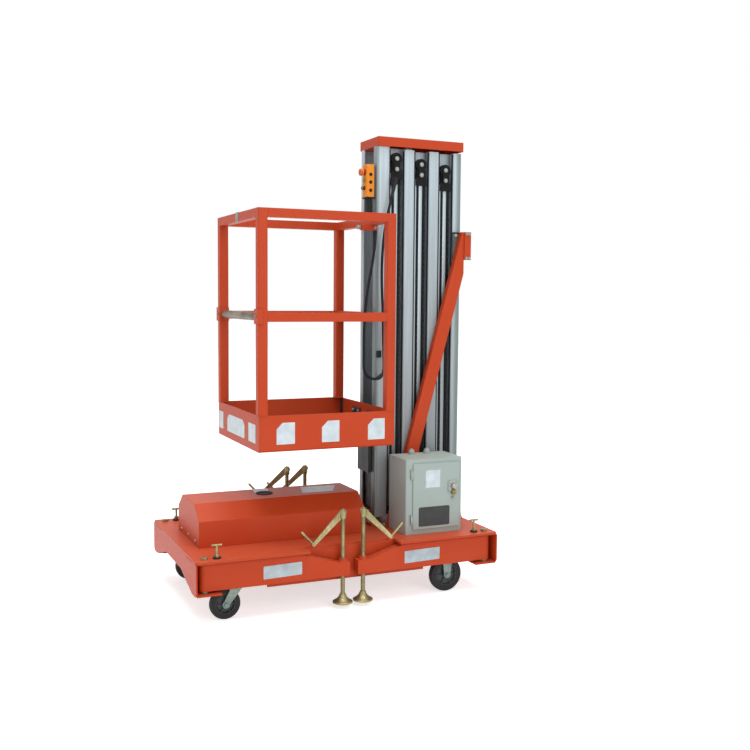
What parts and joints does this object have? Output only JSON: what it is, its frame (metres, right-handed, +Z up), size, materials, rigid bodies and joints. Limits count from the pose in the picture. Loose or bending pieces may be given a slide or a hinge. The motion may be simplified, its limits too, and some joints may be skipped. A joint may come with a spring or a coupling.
{
  "type": "vertical mast lift",
  "caption": "Push-around single mast aerial work platform with a telescoping aluminium mast, a guarded basket, swing-out outriggers with screw jacks and a castored chassis.",
  "frame": {"origin": "on the floor under the middle of the chassis, at rest with the mast lowered and the outriggers folded", "axes": "+Z up; +X along the chassis from the basket end towards the mast; -Y is the side with the electrical cabinet"},
  "size_m": [1.337, 0.8117, 1.98],
  "materials": {
    "orange_paint": "gloss",
    "mast_aluminium": "satin",
    "chain_steel": "oiled",
    "wheel_rubber": "matte",
    "black_rubber": "matte",
    "clamp_steel": "satin",
    "black_plastic": "matte",
    "cable_sheath": "satin",
    "zinc_steel": "satin",
    "yellow_zinc": "satin",
    "cabinet_paint": "gloss",
    "station_plastic": "gloss",
    "unit_steel": "satin",
    "black_steel": "satin"
  },
  "bodies": {
    "chassis": {"chassis_frame": "orange_paint", "chassis_deck": "orange_paint", "castor_mounts": "zinc_steel", "power_cover": "orange_paint", "cover_plug": "black_rubber", "power_unit": "unit_steel", "cabinet_body": "cabinet_paint", "mast_foot": "orange_paint", "mast_brace_front": "orange_paint", "mast_brace_rear": "orange_paint", "mast_clamp": "clamp_steel", "brace_bracket": "orange_paint", "mast_section_0": "mast_aluminium", "pivot_bolts": "yellow_zinc", "lock_pins": "yellow_zinc", "castor_fork_fr": "zinc_steel", "castor_fork_rr": "zinc_steel"},
    "stage_1": {"mast_section_1": "mast_aluminium", "chain_set_1": "chain_steel"},
    "stage_2": {"mast_section_2": "mast_aluminium", "chain_set_2": "chain_steel"},
    "stage_3": {"mast_section_3": "mast_aluminium", "chain_set_3": "chain_steel", "mast_cap": "orange_paint", "cable_clip": "black_plastic"},
    "platform": {"carriage": "black_steel", "basket_tray": "orange_paint", "basket_frame": "orange_paint", "control_station": "station_plastic", "control_cable": "cable_sheath"},
    "entry_bar": {"entry_bar": "zinc_steel"},
    "cabinet_door": {"cabinet_door": "cabinet_paint"},
    "outrigger_fl": {"outrigger_beam_fl": "orange_paint"},
    "jack_fl": {"jack_fl": "yellow_zinc"},
    "outrigger_fr": {"outrigger_beam_fr": "orange_paint"},
    "jack_fr": {"jack_fr": "yellow_zinc"},
    "outrigger_rl": {"outrigger_beam_rl": "orange_paint"},
    "jack_rl": {"jack_rl": "yellow_zinc"},
    "outrigger_rr": {"outrigger_beam_rr": "orange_paint"},
    "jack_rr": {"jack_rr": "yellow_zinc"},
    "castor_fl": {"castor_fork_fl": "zinc_steel"},
    "castor_rl": {"castor_fork_rl": "zinc_steel"},
    "wheel_fl": {"wheel_fl": "wheel_rubber"},
    "wheel_fr": {"wheel_fr": "wheel_rubber"},
    "wheel_rl": {"wheel_rl": "wheel_rubber"},
    "wheel_rr": {"wheel_rr": "wheel_rubber"}
  },
  "joints": [
    {"name": "stage_1_lift", "type": "slide", "parent": "chassis", "child": "stage_1", "axis": [0, 0, 1], "range_m": [0, 1.33]},
    {"name": "stage_2_lift", "type": "slide", "parent": "stage_1", "child": "stage_2", "axis": [0, 0, 1], "range_m": [0, 1.33]},
    {"name": "stage_3_lift", "type": "slide", "parent": "stage_2", "child": "stage_3", "axis": [0, 0, 1], "range_m": [0, 1.33]},
    {"name": "platform_lift", "type": "slide", "parent": "stage_3", "child": "platform", "axis": [0, 0, 1], "range_m": [0, 1.33]},
    {"name": "entry_bar_lift", "type": "slide", "parent": "platform", "child": "entry_bar", "axis": [0, 0, 1], "range_m": [0, 0.34]},
    {"name": "cabinet_door_hinge", "type": "hinge", "parent": "chassis", "child": "cabinet_door", "pos_m": [0.293, -0.3085, 0.4275], "axis": [0, 0, -1], "range_deg": [0, 110]},
    {"name": "outrigger_fl_swing", "type": "hinge", "parent": "chassis", "child": "outrigger_fl", "pos_m": [-0.625, -0.355, 0.19], "axis": [0, 0, -1], "range_deg": [0, 100]},
    {"name": "jack_fl_screw", "type": "slide", "parent": "outrigger_fl", "child": "jack_fl", "axis": [0, 0, 1], "range_m": [-0.025, 0.065]},
    {"name": "outrigger_fr_swing", "type": "hinge", "parent": "chassis", "child": "outrigger_fr", "pos_m": [0.625, -0.355, 0.19], "axis": [0, 0, 1], "range_deg": [0, 100]},
    {"name": "jack_fr_screw", "type": "slide", "parent": "outrigger_fr", "child": "jack_fr", "axis": [0, 0, 1], "range_m": [-0.025, 0.065]},
    {"name": "outrigger_rl_swing", "type": "hinge", "parent": "chassis", "child": "outrigger_rl", "pos_m": [-0.625, 0.355, 0.19], "axis": [0, 0, 1], "range_deg": [0, 100]},
    {"name": "jack_rl_screw", "type": "slide", "parent": "outrigger_rl", "child": "jack_rl", "axis": [0, 0, 1], "range_m": [-0.087, 0.005]},
    {"name": "outrigger_rr_swing", "type": "hinge", "parent": "chassis", "child": "outrigger_rr", "pos_m": [0.625, 0.355, 0.19], "axis": [0, 0, -1], "range_deg": [0, 100]},
    {"name": "jack_rr_screw", "type": "slide", "parent": "outrigger_rr", "child": "jack_rr", "axis": [0, 0, 1], "range_m": [-0.087, 0.005]},
    {"name": "castor_fl_swivel", "type": "hinge", "parent": "chassis", "child": "castor_fl", "pos_m": [-0.485, -0.303, 0.14], "axis": [0, 0, 1], "continuous": true},
    {"name": "castor_rl_swivel", "type": "hinge", "parent": "chassis", "child": "castor_rl", "pos_m": [-0.485, 0.303, 0.14], "axis": [0, 0, 1], "continuous": true},
    {"name": "wheel_fl_spin", "type": "hinge", "parent": "castor_fl", "child": "wheel_fl", "pos_m": [-0.53, -0.303, 0.0625], "axis": [0, 1, 0], "continuous": true},
    {"name": "wheel_fr_spin", "type": "hinge", "parent": "chassis", "child": "wheel_fr", "pos_m": [0.462, -0.303, 0.075], "axis": [0, 1, 0], "continuous": true},
    {"name": "wheel_rl_spin", "type": "hinge", "parent": "castor_rl", "child": "wheel_rl", "pos_m": [-0.53, 0.303, 0.0625], "axis": [0, 1, 0], "continuous": true},
    {"name": "wheel_rr_spin", "type": "hinge", "parent": "chassis", "child": "wheel_rr", "pos_m": [0.462, 0.303, 0.075], "axis": [0, 1, 0], "continuous": true}
  ],
  "couplings": [
    {"joint": "stage_2_lift", "follows": "stage_1_lift", "ratio": 1},
    {"joint": "stage_3_lift", "follows": "stage_1_lift", "ratio": 1},
    {"joint": "platform_lift", "follows": "stage_1_lift", "ratio": 1}
  ]
}
